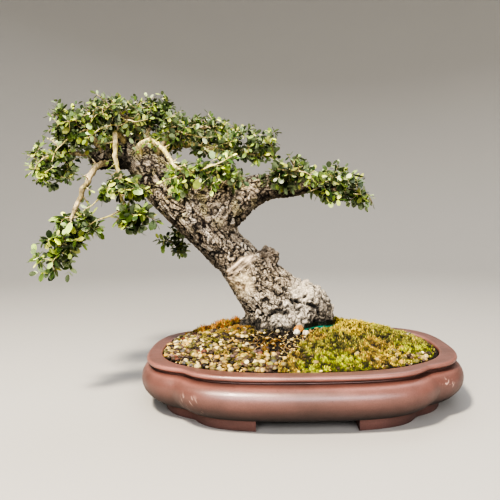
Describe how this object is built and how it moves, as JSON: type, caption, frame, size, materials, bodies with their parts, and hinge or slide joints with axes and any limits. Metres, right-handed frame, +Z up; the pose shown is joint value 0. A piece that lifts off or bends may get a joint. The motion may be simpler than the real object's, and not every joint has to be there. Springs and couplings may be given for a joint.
{
  "type": "olive bonsai",
  "caption": "Old leaning olive bonsai with rugged trunk, long right limb and small-leaved sprays, in a four-lobed oval clay pot with mossy, gritty soil.",
  "frame": {"origin": "centre of the box at its bottom, on the surface the pot stands on", "axes": "+X to the viewer's right along the pot's length and away from the trunk's lean, +Y away from the viewer, +Z up"},
  "size_m": [0.5536, 0.313, 0.3977],
  "materials": {
    "clay": "satin",
    "earth": "matte",
    "bark": "matte",
    "moss": "matte",
    "brown_moss": "matte",
    "orange_stone": "matte",
    "pale_stone": "matte",
    "green_strap": "satin",
    "netting": "matte",
    "leaves": "satin"
  },
  "bodies": {
    "root": {"pot": "clay", "soil": "earth", "trunk": "bark", "moss_bed_right": "moss", "moss_bed_back_left": "brown_moss", "stone_orange": "orange_stone", "stone_white": "pale_stone", "stone_cream": "pale_stone", "anchor_strap": "green_strap", "drain_mesh_left": "netting", "drain_mesh_right": "netting", "spray_crown_left_front": "leaves", "spray_crown_left_back": "leaves", "spray_crown_top_front": "leaves", "spray_crown_top_back": "leaves", "spray_crown_middle_front": "leaves", "spray_crown_middle_back": "leaves", "spray_crown_right": "leaves", "spray_far_left": "leaves", "spray_hanging_left": "leaves", "spray_front_left": "leaves", "spray_middle_front": "leaves", "spray_behind_trunk": "leaves", "spray_right_inner_front": "leaves", "spray_right_inner_back": "leaves", "spray_right_outer_front": "leaves", "spray_right_outer_back": "leaves", "spray_right_tip": "leaves"}
  },
  "joints": []
}
